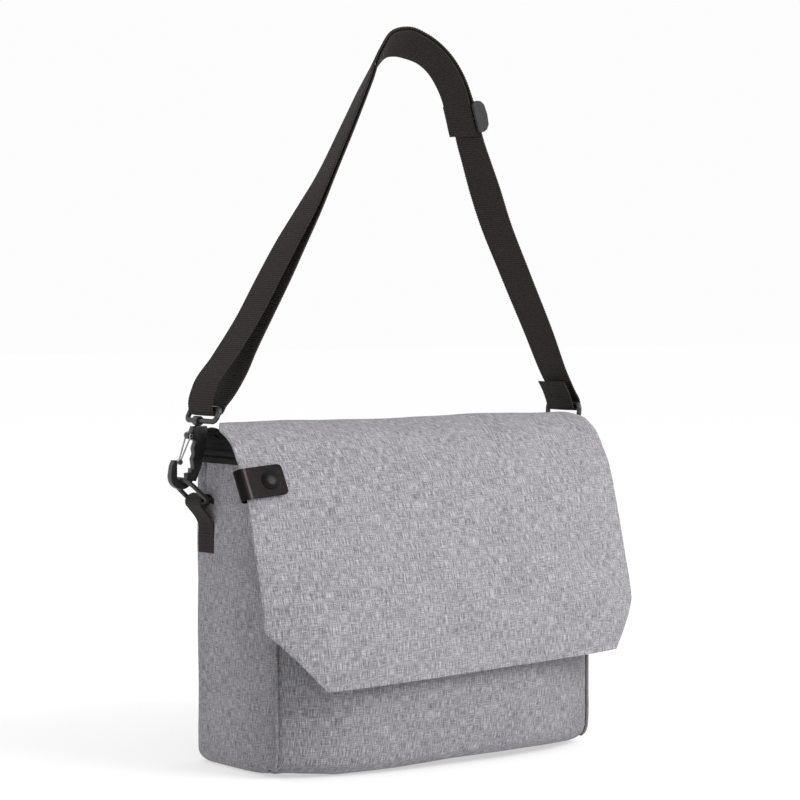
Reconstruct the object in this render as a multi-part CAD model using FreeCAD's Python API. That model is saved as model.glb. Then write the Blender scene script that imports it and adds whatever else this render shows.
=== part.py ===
"""A fabric messenger bag with a full front flap, a leather snap tab and a clip-on webbing strap.

Millimetres. +Z is up, the front faces -Y, and the origin is the middle of the base, on the floor.
"""

import FreeCAD, Part
import math
import os
from FreeCAD import Vector

# ---- driving dimensions -------------------------------------------------------------------
BODY_WIDTH = 342.0
BODY_DEPTH = 126.0
GUSSET_TOP = 262.0
CLOTH = 2.5  # padded outer cloth
LINING = 0.8
GAP = 0.1  # between layers of one body
FIT = 0.35  # between moving pieces

HALF_WIDTH = BODY_WIDTH / 2
HALF_DEPTH = BODY_DEPTH / 2
INSIDE = HALF_WIDTH - CLOTH - GAP  # half the width between the two gussets

FLAP_CLOTH = 2.2
FLAP_LINING = 1.5

TAB_LENGTH = 41.0  # leather tab, from the flap's edge to its rounded end
TAB_HEIGHT = 27.5
TAB_CORNER = 4.5
LEATHER = 1.6
SNAP_STANDOFF = 2.4
CAP_RADIUS = 7.7

WIRE = 1.75  # radius of the lower ring's wire
UPPER_WIRE = 2.0
GATE_WIRE = 0.7
WEBBING = 2.0
WEBBING_WIDTH = 38.0
LOOP_WIDTH = 25.0  # the webbing loops sewn on the gussets
STRAP_Y = 32.0
HOOK_Y = 37.0
LOOP_Y = 41.0
HOOK_THICKNESS = 6.0
HOOK_CENTRE = (202.5, 251.5)  # of the round of the hook, outward and up
HOOK_OUTER = 11.5
HOOK_INNER = 5.0
RIGHT_LEAN = 10.0  # degrees that the right hook leans outward on its ring
RIGHT_DROP = 20.0  # degrees that the right lower ring hangs outward in its loop, hook and all

ZIP_Y = 8.0
ZIP_TOP = 276.2  # top of the zip's tapes
SLIDER_X = 140.0
LEFT = -1
RIGHT = 1
SIDE_NAMES = {LEFT: "left", RIGHT: "right"}

parts = {}


# ---- helpers ------------------------------------------------------------------------------
def box(x, y, z):
    """A block from three (low, high) pairs."""
    corner = Vector(x[0], y[0], z[0])
    return Part.makeBox(x[1] - x[0], y[1] - y[0], z[1] - z[0], corner)


def rod(start, end, radius):
    """A straight round bar between two points."""
    start, end = Vector(*start), Vector(*end)
    return Part.makeCylinder(radius, (end - start).Length, start, end - start)


def prism_x(outline, low, high):
    """A (y, z) outline pushed along X."""
    wire = Part.makePolygon([Vector(low, y, z) for y, z in outline + outline[:1]])
    return Part.Face(wire).extrude(Vector(high - low, 0, 0))


def prism_y(outline, low, high):
    """An (x, z) outline pushed along Y."""
    wire = Part.makePolygon([Vector(x, low, z) for x, z in outline + outline[:1]])
    return Part.Face(wire).extrude(Vector(0, high - low, 0))


def fuse(shapes):
    """One clean solid from several that overlap."""
    joined = shapes[0].multiFuse(shapes[1:])
    return joined.removeSplitter()


def mirror_for(shape, side):
    """Shapes are drawn on the right, and mirrored for the left."""
    return shape.mirror(Vector(0, 0, 0), Vector(1, 0, 0)) if side == LEFT else shape


def arc_section(half, edge, middle, shift):
    """A thin closed section: an arc from -half through the middle to half, and the same arc moved by
    shift. edge and middle are (y, z) places."""
    def arc(offset):
        points = ((-half, *edge), (0, *middle), (half, *edge))
        return Part.Arc(*[Vector(*p) + offset for p in points]).toShape()

    front, back = arc(Vector(0, 0, 0)), arc(shift)
    ends = [
        Part.LineSegment(front.Vertexes[k].Point, back.Vertexes[k].Point).toShape() for k in (0, 1)
    ]
    return Part.Wire(Part.__sortEdges__([front, ends[1], back, ends[0]]))


def bowed_panel(levels, thickness, half=INSIDE):
    """A standing panel that bows forward. levels are (z, y at the sides, y in the middle)."""
    sections = [
        arc_section(half, (side, z), (middle, z), Vector(0, thickness, 0))
        for z, side, middle in levels
    ]
    return Part.makeLoft(sections, True, True)


def rounded_path(points, share=0.49):
    """A wire of straight runs joined by tangent arcs, each as large as its two runs allow."""
    points = [Vector(*p) for p in points]
    edges = []
    here = points[0]
    for before, corner, after in zip(points, points[1:], points[2:]):
        into, out = corner - before, after - corner
        turn = into.getAngle(out)
        reach = share * min(into.Length, out.Length)
        start = corner - into.normalize() * reach
        end = corner + out.normalize() * reach
        inward = (start + end) * 0.5 - corner
        radius = reach / math.tan(turn / 2)
        centre = corner + inward.normalize() * math.hypot(radius, reach)
        middle = centre + (corner - centre).normalize() * radius
        edges.append(Part.LineSegment(here, start).toShape())
        edges.append(Part.Arc(start, middle, end).toShape())
        here = end
    edges.append(Part.LineSegment(here, points[-1]).toShape())
    return Part.Wire(edges)


def tube(points, radius, share=0.49):
    """A round bar along a rounded path."""
    path = rounded_path(points, share)
    start = path.Edges[0]
    along = start.tangentAt(start.FirstParameter)
    ring = Part.Wire(Part.Circle(start.Vertexes[0].Point, along, radius).toShape())
    return path.makePipeShell([ring], True, True)


def closed_ring(corners, radius):
    """A round bar along a closed rounded rectangle through four corner points."""
    middle = (Vector(*corners[0]) + Vector(*corners[1])) * 0.5
    points = [tuple(middle), *corners[1:], corners[0], tuple(middle)]
    return tube(points, radius, share=0.36)


def ribbon(points, thickness, low, high):
    """Webbing whose edge follows (x, z) points, pushed along Y from low to high."""
    def side(offset):
        moved = []
        for k, (x, z) in enumerate(points):
            ahead = points[min(k + 1, len(points) - 1)]
            behind = points[max(k - 1, 0)]
            into = Vector(x - behind[0], z - behind[1], 0)
            out = Vector(ahead[0] - x, ahead[1] - z, 0)
            into = into if into.Length else Vector(out)
            out = out if out.Length else Vector(into)
            bend = into.normalize() + out.normalize()
            bend.normalize()
            stretch = offset / bend.dot(into)
            moved.append((x - bend.y * stretch, low, z + bend.x * stretch))
        return rounded_path(moved)

    one, other = side(thickness / 2), side(-thickness / 2)
    caps = [
        Part.LineSegment(one.OrderedVertexes[k].Point, other.OrderedVertexes[k].Point).toShape()
        for k in (0, -1)
    ]
    outline = Part.Wire(Part.__sortEdges__(one.Edges + other.Edges + caps))
    return Part.Face(outline).extrude(Vector(0, high - low, 0))


# ---- the body of the bag ------------------------------------------------------------------
def body_panels():
    """Front pocket, front, back, base and the two gussets, each a sewn panel."""
    parts["pocket_panel"] = bowed_panel(
        [(4, -57, -84), (14, -63, -97), (100, -63, -104), (160, -63, -97), (235, -50, -62)], CLOTH
    )
    parts["front_panel"] = bowed_panel([(4, -54, -64), (150, -60, -72), (262, -38, -44)], CLOTH)
    back = HALF_DEPTH - CLOTH
    parts["back_panel"] = box((-INSIDE, INSIDE), (back, HALF_DEPTH), (4, GUSSET_TOP))

    gusset = [(-57, 4), (-HALF_DEPTH, 14), (-HALF_DEPTH, 160), (-42, GUSSET_TOP)]
    gusset += [(HALF_DEPTH, GUSSET_TOP), (HALF_DEPTH, 14), (57, 4)]
    end = [(-36, GUSSET_TOP + GAP), (-33, 275), (-24, 285.5), (-8, 291), (12, 291), (24, 289.5),
           (31, 292), (42, 292.5), (52, 289), (58, 281), (60, GUSSET_TOP + GAP)]
    for side, name in SIDE_NAMES.items():
        plate = prism_x(gusset, HALF_WIDTH - CLOTH, HALF_WIDTH)
        parts[f"gusset_{name}"] = mirror_for(plate, side)
        cap = prism_x(end, HALF_WIDTH - CLOTH, HALF_WIDTH)
        parts[f"top_end_{name}"] = mirror_for(cap, side)
        bands = [box((HALF_WIDTH, HALF_WIDTH + 2), (-32, 60), span) for span in ((262, 267), (268, 273))]
        bands.append(box((HALF_WIDTH, HALF_WIDTH + 1.2), (-32, 60), (262, 273)))
        parts[f"top_binding_{name}"] = mirror_for(fuse(bands), side)
        welt = tube([(HALF_WIDTH, -65.5, 8), (HALF_WIDTH, -66.4, 160), (HALF_WIDTH, -54.5, 230)], 2.2, 0.2)
        parts[f"front_welt_{name}"] = mirror_for(welt, side)

    front_edge = Part.Arc(Vector(-INSIDE, -54, 0), Vector(0, -81, 0), Vector(INSIDE, -54, 0)).toShape()
    back_edge = Part.makePolygon([Vector(INSIDE, -54, 0), Vector(INSIDE, 58, 0),
                                  Vector(-INSIDE, 58, 0), Vector(-INSIDE, -54, 0)])
    base = Part.Face(Part.Wire([front_edge] + back_edge.Edges))
    parts["base_panel"] = base.extrude(Vector(0, 0, CLOTH))


def inside():
    """Base board, lining, padded divider and slip pocket."""
    parts["base_board"] = box((-164, 164), (-50, 54), (CLOTH + GAP, 5.2))
    outer = [(-50, 5.4), (-56, 150), (-34.5, 258), (60.2, 258), (60.2, 5.4)]
    inner = [(-49, 6.2), (-55, 150), (-33.5, 260), (59.4, 260), (59.4, 6.2)]
    edge = INSIDE - GAP
    skin = prism_x(outer, -edge, edge).cut(prism_x(inner, LINING - edge, edge - LINING))
    parts["lining"] = skin
    wide = INSIDE - 2
    parts["divider"] = box((-wide, wide), (36, 40), (6.5, 215))
    parts["slip_pocket"] = box((-110, 110), (34.5, 35.8), (30, 150))


def zip_closure():
    """Two roof panels, two tapes with their coils, and a slider with a pull."""
    rear = [(60, 262.3), (40, 271), (14, 275.4), (14, 273.9), (40, 269.5), (60, 260.8)]
    front = [(-36, 262.3), (-22, 271), (2, 275.4), (2, 273.9), (-22, 269.5), (-36, 260.8)]
    for name, outline, sense in (("rear", rear, 1), ("front", front, -1)):
        parts[f"roof_panel_{name}"] = prism_x(outline, -INSIDE + GAP, INSIDE - GAP)
        near, far = ZIP_Y + sense * 0.4, ZIP_Y + sense * 13
        span = (min(near, far), max(near, far))
        parts[f"zip_tape_{name}"] = box((-160, 160), span, (ZIP_TOP - 0.6, ZIP_TOP))
        chain = (min(near, near + sense * 2.2), max(near, near + sense * 2.2))
        parts[f"zip_coil_{name}"] = box((-155, 155), chain, (ZIP_TOP, ZIP_TOP + 1.3))

    low = ZIP_TOP + 1.3 + FIT
    plate = box((SLIDER_X - 6, SLIDER_X + 6), (ZIP_Y - 4.5, ZIP_Y + 4.5), (low, low + 1.4))
    under = box((SLIDER_X - 5, SLIDER_X + 5), (ZIP_Y - 4, ZIP_Y + 4), (ZIP_TOP - 2.3, ZIP_TOP - 1))
    wedge = box((SLIDER_X - 1.5, SLIDER_X + 1.5), (ZIP_Y - 0.2, ZIP_Y + 0.2), (ZIP_TOP - 1, low))
    lugs = [box((SLIDER_X - 1.5, SLIDER_X + 1.5), (y, y + 1), (low + 1.4, low + 4.6))
            for y in (ZIP_Y - 4, ZIP_Y + 3)]
    pin_z = low + 3.4
    pin = rod((SLIDER_X, ZIP_Y - 4, pin_z), (SLIDER_X, ZIP_Y + 4, pin_z), 0.6)
    parts["zip_slider"] = fuse([plate, under, wedge, pin] + lugs)

    barrel = rod((SLIDER_X, ZIP_Y - 2.6, pin_z), (SLIDER_X, ZIP_Y + 2.6, pin_z), 1.5)
    leaf = box((SLIDER_X - 22, SLIDER_X), (ZIP_Y - 2.6, ZIP_Y + 2.6), (pin_z - 0.5, pin_z + 0.7))
    bore = rod((SLIDER_X, ZIP_Y - 3, pin_z), (SLIDER_X, ZIP_Y + 3, pin_z), 0.66)
    parts["zip_pull"] = fuse([barrel, leaf]).cut(bore)


# ---- the flap -----------------------------------------------------------------------------
# Stations from the hinge seam, over the top and down the front: half the width, the outer face's
# place (y, z) at the edge, how far the middle bows out, and the face's slope in degrees, where 0
# faces the front and 90 faces up.
FLAP_STATIONS = [
    (142, (62, 266), 0.3, 180),
    (150, (52, 283), 0.3, 125),
    (169, (25, 294), 1, 105),
    (189, (-3, 298.5), 1, 92),
    (199, (-17, 295.5), 1.5, 66),
    (199, (-33, 287.5), 4, 48),
    (199, (-48, 269), 8, 32),
    (199, (-61, 243), 12.5, 22),
    (199, (-67, 222), 17, 17),
    (199, (-79.5, 180), 22, 16),
    (198, (-89, 130), 25, 5),
    (158, (-112, 84), 7, 0),
]


def flap_layer(outer, inner):
    """One layer of the flap, between two depths under its outer face."""
    sections = []
    for half, edge, bow, slope in FLAP_STATIONS:
        inward = Vector(0, math.cos(math.radians(slope)), -math.sin(math.radians(slope)))
        near = Vector(0, *edge) + inward * outer
        middle = near - inward * bow
        sections.append(
            arc_section(half, (near.y, near.z), (middle.y, middle.z), inward * (inner - outer))
        )
    return Part.makeLoft(sections, True, True)


def flap():
    """Outer cloth, lining and the magnetic snaps that hold the flap shut."""
    parts["flap_outer"] = flap_layer(0, FLAP_CLOTH)
    parts["flap_lining"] = flap_layer(FLAP_CLOTH, FLAP_CLOTH + FLAP_LINING)
    # The magnets sit in recesses cut for them in the cloth.
    for name, face, depth, around in (
        ("flap_magnets", -112.6, 4.4, ("flap_outer", "flap_lining")),
        ("pocket_magnets", -105, 4.6, ("pocket_panel",)),
    ):
        discs = [rod((x, face, 108), (x, face + depth, 108), 8) for x in (-45, 45)]
        parts[name] = Part.makeCompound(discs)
        for cloth in around:
            for disc in discs:
                parts[cloth] = parts[cloth].cut(disc)


def snap_tab():
    """The leather tab folded round the flap's left edge, with its snap."""
    place = FreeCAD.Placement()
    turn = FreeCAD.Rotation(Vector(0, 0, 1), -6.5).multiply(FreeCAD.Rotation(Vector(1, 0, 0), -24.5))
    place.Rotation = turn.multiply(FreeCAD.Rotation(Vector(0, 1, 0), -5.5))
    place.Base = Vector(-199.6, -59.2, 248.6)

    # In the tab's own axes +X runs along the flap from its edge, +Z up it and -Y out of it.
    half = TAB_HEIGHT / 2
    fold = 3.6
    behind = FLAP_CLOTH + FLAP_LINING + 3.4
    front = SNAP_STANDOFF

    def leaf(low, high, end):
        plate = box((0, end), (low, high), (-half, half))
        corners = [e for e in plate.Edges
                   if all(v.X > end - 0.1 for v in e.Vertexes) and e.Length < 2 * LEATHER
                   and abs(e.Vertexes[0].Y - e.Vertexes[1].Y) > 0.1]
        return plate.makeFillet(TAB_CORNER, corners)

    shapes = {}
    shapes["snap_tab_front"] = leaf(-front - LEATHER, -front, TAB_LENGTH - fold)
    back = leaf(behind, behind + LEATHER, TAB_LENGTH - fold - 4)
    middle = (behind - front) / 2
    outer = (behind + front) / 2 + LEATHER
    tube_out = rod((0, middle, -half), (0, middle, half), outer)
    tube_in = rod((0, middle, -half), (0, middle, half), outer - LEATHER)
    bend = tube_out.cut(tube_in).cut(box((0, 20), (-20, 20), (-20, 20)))
    bend = bend.cut(box((-20, 0), (-front - LEATHER - 1, -front + 0.4), (-20, 20)))
    shapes["snap_tab_back"] = fuse([back, bend])

    at = 22.8
    dome = Part.makeSphere(CAP_RADIUS * 1.35, Vector(at, -front - LEATHER + 7.1, 0))
    keep = rod((at, -front - LEATHER - 4, 0), (at, -front - LEATHER, 0), CAP_RADIUS)
    rim = rod((at, -front - LEATHER - 0.9, 0), (at, -front - LEATHER, 0), CAP_RADIUS)
    shapes["snap_cap"] = fuse([dome.common(keep), rim])
    socket = rod((at, -front, 0), (at, -front + 1.5, 0), 5.2)
    shapes["snap_socket"] = socket.cut(rod((at, -front, 0), (at, -front + 1.5, 0), 2.5))
    flange = rod((at, -0.6, 0), (at, -0.1, 0), 5.2)
    shapes["snap_stud"] = fuse([flange, rod((at, -2.1, 0), (at, -0.1, 0), 2.1)])
    for name, shape in shapes.items():
        shape.Placement = place
        parts[name] = shape


# ---- rings, hooks and gates ---------------------------------------------------------------
LOWER_BAR = (181.0, 229.0)  # of the lower ring, in its webbing loop
CONTACT = (202.5, 248.6)  # the lower ring's outer bar, in the hook
EYE = (185.0, 298.6)
GATE_PIVOT = (194.5, 286.0)
GATE_TIP = (203.7, 263.5)
GATE_SPREAD = 4.05  # from the hook's middle to each gate wire, at the pivot
UPPER_BAR = (179.5, 309.5)  # of the upper ring, in the strap's fold


def ring_between(one, other, middle, width, wire):
    """A wire ring whose two long bars run along Y through two (x, z) places."""
    low, high = middle - width / 2, middle + width / 2
    corners = [(one[0], low, one[1]), (one[0], high, one[1]),
               (other[0], high, other[1]), (other[0], low, other[1])]
    return closed_ring(corners, wire)


def webbing_loop():
    """The loop sewn flat on the gusset, with the lower ring's bar in its top fold."""
    low, high = LOOP_Y - LOOP_WIDTH / 2, LOOP_Y + LOOP_WIDTH / 2
    x, z = LOWER_BAR
    face = HALF_WIDTH + 0.1
    path = [(face + 0.6, 184), (face + 0.6, 222), (face + 4, 233), (x + 0.6, z + 5.6),
            (x + 6.6, z + 2.4), (x + 6, z - 3.6), (face + 7.5, 218.5), (face + 2.1, 211),
            (face + 2.1, 184)]
    return ribbon(path, 1.2, low, high)


def hook_body():
    """The cast hook: a flat spine with a thumb ear, an open round and a nose that the gate closes on."""
    low, high = HOOK_Y - HOOK_THICKNESS / 2, HOOK_Y + HOOK_THICKNESS / 2
    x, z = HOOK_CENTRE
    hole = rod((x, low, z), (x, high, z), HOOK_INNER)
    around = rod((x, low, z), (x, high, z), HOOK_OUTER)
    nose = prism_y([(x + 4, z), (x + 11.4, z + 1), (x + 10.2, z + 9), (x + 7.8, z + 13.8),
                    (x + 5.4, z + 14), (x + 4, z + 9)], low, high)
    mouth = prism_y([(x - 9, z + 3), (x + 4.8, z + 1), (x + 4.8, z + 17), (x - 9, z + 17)], low, high)
    spine = prism_y([(177.2, 294), (176.4, 290), (179.4, 273), (183, 259), (188.5, 246.5),
                     (196, 247.5), (193.6, 252.5), (190.8, 259), (192, 266), (190, 270),
                     (191, 275), (188.6, 281), (192.2, 282.6), (196.2, 283.2), (197.4, 286),
                     (196.6, 288.6), (192.6, 290), (191, 294)], low, high)
    pin_hole = rod(pivot(low), pivot(high), 0.95)
    return fuse([fuse([around, nose]).cut(mouth), spine]).cut(hole).cut(pin_hole)


def pivot(y):
    """The gate's pivot at a given y."""
    return GATE_PIVOT[0], y, GATE_PIVOT[1]


def swivel_eye():
    """The barrel that turns on the hook's top and holds the upper ring."""
    x, z = EYE
    barrel = rod((x, HOOK_Y - 4, z), (x, HOOK_Y + 4, z), 4.1)
    post = rod((x, HOOK_Y, 294.1), (x, HOOK_Y, 297), 2.8)
    return fuse([barrel, post]).cut(rod((x, HOOK_Y - 4, z), (x, HOOK_Y + 4, z), UPPER_WIRE + FIT))


def gate():
    """A sprung wire gate: a wire on each side of the hook, from the pivot to a round nose piece."""
    shapes = [rod((GATE_TIP[0], HOOK_Y - 2.2, GATE_TIP[1]), (GATE_TIP[0], HOOK_Y + 2.2, GATE_TIP[1]), 2.4)]
    for sense in (-1, 1):
        start = pivot(HOOK_Y + sense * GATE_SPREAD)
        shapes.append(rod(start, (GATE_TIP[0], HOOK_Y + sense * 1.2, GATE_TIP[1]), GATE_WIRE))
        shapes.append(rod(pivot(HOOK_Y + sense * 3.3), pivot(HOOK_Y + sense * 4.9), 1.8))
    return fuse(shapes).cut(rod(pivot(HOOK_Y - 6), pivot(HOOK_Y + 6), 0.95))


def hardware():
    """Both sides' loops, rings, hooks, eyes, gates and pins."""
    moved = {"hook": hook_body(), "swivel_eye": swivel_eye(), "gate": gate(),
             "upper_ring": ring_between(EYE, UPPER_BAR, STRAP_Y, WEBBING_WIDTH + 8, UPPER_WIRE)}
    moved["gate_pin"] = rod(pivot(HOOK_Y - 5.2), pivot(HOOK_Y + 5.2), 0.9)
    fixed = {"webbing_loop": webbing_loop(),
             "lower_ring": ring_between(LOWER_BAR, CONTACT, LOOP_Y, LOOP_WIDTH + 6, WIRE)}
    for side, name in SIDE_NAMES.items():
        for kind, shape in list(fixed.items()) + list(moved.items()):
            placed = shape.copy()
            if side == RIGHT and kind in moved:
                placed.rotate(Vector(CONTACT[0], 0, CONTACT[1]), Vector(0, 1, 0), RIGHT_LEAN)
            if side == RIGHT and kind != "webbing_loop":
                placed.rotate(Vector(LOWER_BAR[0], 0, LOWER_BAR[1]), Vector(0, 1, 0), RIGHT_DROP)
            parts[f"{kind}_{name}"] = mirror_for(placed, side)


# ---- the strap ----------------------------------------------------------------------------
# One length of webbing seen from the front, as (x, z): sewn to the slider's bar, back over the top
# inside itself, round the left ring, out over the top again, through the slider and round the right ring.
INNER_RUN = [(99.4, 549), (95.4, 562), (90.6, 577), (82.2, 593), (70, 609.5), (51, 624), (30, 629.5),
             (19, 626), (9, 614), (-54, 508), (-89, 452), (-126, 386), (-150, 340), (-166, 317),
             (-173.5, 309)]
LEFT_FOLD = [(-174.8, 305.3), (-179.6, 303.6), (-184.4, 305.3), (-185.6, 311)]
OUTER_RUN = [(-181, 328), (-166, 351), (-138, 390), (-98, 453), (-61, 508), (3, 617), (14, 631),
             (31, 635.5), (55, 630), (74.5, 615.5), (88.8, 597.5), (96.6, 581), (115, 520),
             (134.5, 476), (158.5, 428), (189, 371), (208, 331), (217.5, 315), (223.3, 306)]
RIGHT_FOLD = [(223.8, 301), (219.2, 297.6), (214.6, 300.2), (213.4, 307), (207, 321.5)]


SLIDER_PLACE = (100.2, 569.0)
SLIDER_LEAN = 16.8  # degrees that the strap leans there
SLIDER_LENGTH = 28.0


def strap():
    """The webbing and its slider."""
    low, high = STRAP_Y - WEBBING_WIDTH / 2, STRAP_Y + WEBBING_WIDTH / 2
    parts["strap_webbing"] = ribbon(INNER_RUN + LEFT_FOLD + OUTER_RUN + RIGHT_FOLD, WEBBING, low, high)

    # In the slider's own axes +Z runs up the strap and +X out of the loop.
    rail = WEBBING_WIDTH / 2 + 1
    end = SLIDER_LENGTH / 2
    outline = [(-4.8, end - 2), (-3.4, end), (1, end + 0.6), (5, end - 0.8), (8, end - 4.8), (9, 0)]
    outline += [(x, -z) for x, z in outline[-2::-1]]
    rails = [prism_y(outline, low, low + 3) for low in (STRAP_Y - rail - 3, STRAP_Y + rail)]
    ends = (STRAP_Y - rail - 1, STRAP_Y + rail + 1)
    bars = [box((1.5, 4.4), ends, (z - 2, z + 2)) for z in (2 - SLIDER_LENGTH / 2, SLIDER_LENGTH / 2 - 2)]
    middle = rod((-3.3, ends[0] + 1.1, 0), (-3.3, ends[1] - 1.1, 0), 1.2)
    place = FreeCAD.Placement(
        Vector(SLIDER_PLACE[0], 0, SLIDER_PLACE[1]), FreeCAD.Rotation(Vector(0, 1, 0), -SLIDER_LEAN)
    )
    for name, shape in (("strap_slider", fuse(rails + bars)), ("slider_bar", middle)):
        shape.Placement = place
        parts[name] = shape


def main():
    os.makedirs("parts", exist_ok=True)
    for make in (body_panels, inside, zip_closure, flap, snap_tab, hardware, strap):
        make()
    for name, shape in parts.items():
        if not shape.isValid() or shape.Volume <= 0:
            print("bad shape:", name, shape.Volume)
        shape.exportStep(f"parts/{name}.step")
    print(len(parts), "nodes")


main()
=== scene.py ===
"""The looks of a grey heather messenger bag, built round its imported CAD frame.

Shapes are written in millimetres in the frame's own axes: +Z is up, the front faces -Y and the origin is
the middle of the base. They turn into metres when a mesh is made.
"""

import math

import bpy
import numpy as np
from mathutils import Matrix, Vector, noise


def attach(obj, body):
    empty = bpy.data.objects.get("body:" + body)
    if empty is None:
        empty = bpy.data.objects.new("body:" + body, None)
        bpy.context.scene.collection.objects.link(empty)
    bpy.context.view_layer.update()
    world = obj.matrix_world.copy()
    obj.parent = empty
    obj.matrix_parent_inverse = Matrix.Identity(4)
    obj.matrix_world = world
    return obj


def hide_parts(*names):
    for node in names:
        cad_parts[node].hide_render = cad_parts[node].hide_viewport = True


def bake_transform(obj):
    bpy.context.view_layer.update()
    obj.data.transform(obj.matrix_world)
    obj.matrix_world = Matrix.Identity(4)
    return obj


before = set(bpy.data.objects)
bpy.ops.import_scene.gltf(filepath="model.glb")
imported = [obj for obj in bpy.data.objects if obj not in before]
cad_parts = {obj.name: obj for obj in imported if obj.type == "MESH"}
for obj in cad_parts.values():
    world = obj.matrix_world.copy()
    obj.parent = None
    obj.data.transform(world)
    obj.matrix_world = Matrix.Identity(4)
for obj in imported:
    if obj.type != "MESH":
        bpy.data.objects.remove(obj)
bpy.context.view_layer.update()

MM = 0.001
ROUND = 1.2  # rounding of a cloth edge
CLOTH_UV = "Cloth"  # UV map in metres along the cloth
SEAM_UV = 300.0  # where the side cloth's UV starts, in mm, at its front seam
BODY_HALF = 171.0
BODY_BACK = 63.0
GUSSET_TOP = 262.0
POCKET_TOP = 235.0
BACK_CORNER = 8.0  # plan radius of the two back corners
BASE_ROUND = 12.0
# How far the base's front edge stands off the floor: (x, lift).
BASE_LIFT = np.array([
    (-171, 7.5), (-145, 3.5), (-115, 0.6), (-60, 1.6), (0, 4.2), (80, 4.8), (140, 3.6), (171, 3),
])
RIGHT_PULL = 4.6  # how far the front seam is pulled in on the right
CLOTH = 2.4
WEBBING_WIDTH = 38.0
WEBBING = 2.0
LEFT, RIGHT = -1, 1
SIDES = {LEFT: "left", RIGHT: "right"}


# ---- camera, floor and light ----
def camera():
    """Eye level with the flap, turned to the left of the front."""
    turn, away, height = math.radians(36), 2.444, 0.406
    data = bpy.data.cameras.new("camera")
    data.lens = 123.75
    data.sensor_width = 36
    data.shift_x = 0.004
    data.clip_end = 50
    eye = bpy.data.objects.new("camera", data)
    eye.location = (-away * math.sin(turn), -away * math.cos(turn), height)
    eye.rotation_euler = (math.radians(90 - 2.17), 0, -turn)
    bpy.context.collection.objects.link(eye)
    bpy.context.scene.camera = eye


def area_light(name, place, target, size, power):
    data = bpy.data.lights.new(name, "AREA")
    data.energy = power
    data.size = size
    lamp = bpy.data.objects.new(name, data)
    lamp.location = place
    lamp.rotation_euler = (Vector(target) - Vector(place)).to_track_quat("-Z", "Y").to_euler()
    bpy.context.collection.objects.link(lamp)


def studio():
    """A pale floor, a white surround and one large key light."""
    bpy.ops.mesh.primitive_plane_add(size=30, location=(0, 0, -0.0005))
    floor = bpy.context.object
    floor.name = "floor"
    look = new_look("pale_floor")
    shade(look, {"Base Color": (0.5, 0.5, 0.5, 1), "Roughness": 1.0, "Specular IOR Level": 0.0,
                 "Emission Color": (1, 1, 1, 1), "Emission Strength": 0.5})
    floor.data.materials.append(look["material"])

    world = bpy.data.worlds.new("white_surround")
    world.use_nodes = True
    surround = world.node_tree.nodes["Background"]
    surround.inputs["Color"].default_value = (1, 1, 1, 1)
    surround.inputs["Strength"].default_value = 0.98
    bpy.context.scene.world = world
    bpy.context.scene.view_settings.view_transform = "Standard"
    area_light("key", (0.9, -2.2, 1.6), (0, 0, 0.25), 1.4, 57)


# ---- materials ----
def new_look(name):
    """A material with its tree and its shader, as the dict that the helpers below take."""
    made = bpy.data.materials.new(name)
    made.use_nodes = True
    tree = made.node_tree
    return {"material": made, "tree": tree, "shader": tree.nodes["Principled BSDF"]}


def feed(look, node, inputs):
    """Sets a node's inputs. Each is a constant or another node's socket."""
    for key, value in inputs.items():
        if isinstance(value, bpy.types.NodeSocket):
            look["tree"].links.new(value, node.inputs[key])
        else:
            node.inputs[key].default_value = value


def shade(look, inputs):
    feed(look, look["shader"], inputs)


def add(look, kind, inputs=(), **settings):
    """The first output of a new node. Settings are the node's own properties."""
    made = look["tree"].nodes.new("ShaderNode" + kind)
    for key, value in settings.items():
        setattr(made, key, value)
    feed(look, made, dict(inputs))
    return made.outputs[0]


def maths(look, operation, *values):
    return add(look, "Math", dict(enumerate(values)), operation=operation)


def scaled(look, vector, scale):
    """Coordinates or a colour, multiplied by a vector."""
    return add(look, "VectorMath", {0: vector, 1: scale}, operation="MULTIPLY")


def cloud(look, coordinates, scale, detail=3.0, roughness=0.6):
    """Noise on coordinates multiplied by scale."""
    where = scaled(look, coordinates, scale)
    return add(look, "TexNoise", {"Vector": where, "Scale": 1.0, "Detail": detail, "Roughness": roughness})


def ramp(look, value, stops):
    """A colour ramp from (place, grey or colour) stops."""
    made = look["tree"].nodes.new("ShaderNodeValToRGB")
    band = made.color_ramp
    while len(band.elements) < len(stops):
        band.elements.new(0.5)
    for element, (place, colour) in zip(band.elements, stops):
        element.position = place
        element.color = (*((colour,) * 3 if isinstance(colour, float) else colour), 1)
    feed(look, made, {0: value})
    return made.outputs[0]


def bump(look, height, distance, strength=1.0):
    shade(look, {"Normal": add(look, "Bump", {"Height": height, "Distance": distance, "Strength": strength})})


def axes(look, coordinates):
    """The X, Y and Z of coordinates."""
    made = look["tree"].nodes.new("ShaderNodeSeparateXYZ")
    feed(look, made, {0: coordinates})
    return made.outputs


def waves(look, uv, across, along):
    """Two sines over the cloth, with these pitches in metres."""
    parts = axes(look, uv)
    return [maths(look, "SINE", maths(look, "MULTIPLY", parts[k], 2 * math.pi / pitch))
            for k, pitch in enumerate((across, along))]


def cloth_coordinates(look):
    return add(look, "UVMap", uv_map=CLOTH_UV)


def object_coordinates(look):
    return look["tree"].nodes.new("ShaderNodeTexCoord").outputs["Object"]


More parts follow.
